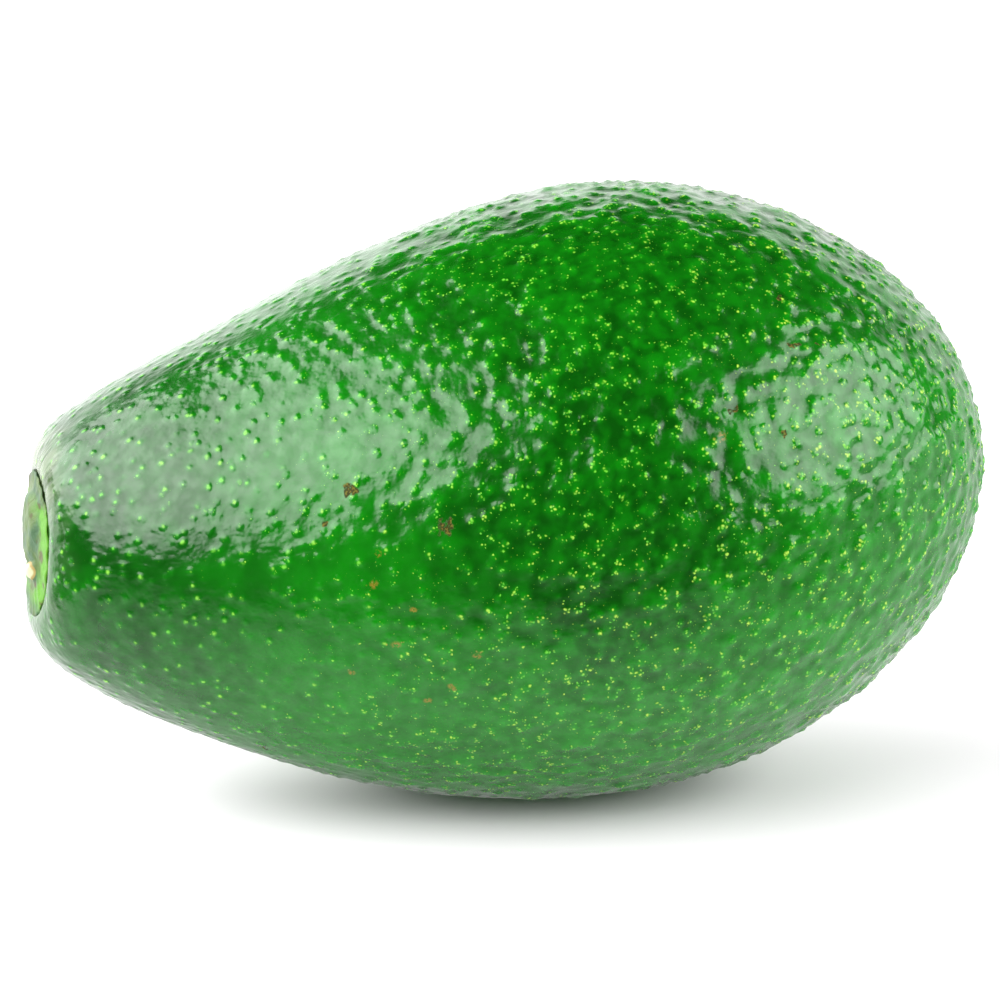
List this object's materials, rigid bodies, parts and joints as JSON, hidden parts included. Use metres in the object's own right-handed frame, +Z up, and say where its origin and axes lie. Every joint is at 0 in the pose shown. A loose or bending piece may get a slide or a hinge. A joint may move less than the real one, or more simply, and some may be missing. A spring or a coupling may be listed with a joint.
{
  "type": "avocado",
  "caption": "A whole green avocado lying on its side, pear-shaped with a glossy pebbled skin, and the stub of its stem in the socket at the narrow end.",
  "frame": {"origin": "Centre of the base of the bounding box, on the surface that the fruit rests on.", "axes": "+X runs along the fruit from the stem end at -X to the blossom end at +X, +Z is up, +Y completes the right-handed frame."},
  "size_m": [0.1098, 0.069, 0.0692],
  "materials": {
    "skin": "Waxy, glossy deep green skin with a fine pebble, dotted all over with small yellow-green lenticels and a few brown corky flecks.",
    "stem": "Dull grey-green boss with a fresh lime collar, brown in its creases and with one pale torn spot."
  },
  "bodies": {
    "root": {"fruit": "skin", "stem_button": "stem"}
  },
  "joints": []
}
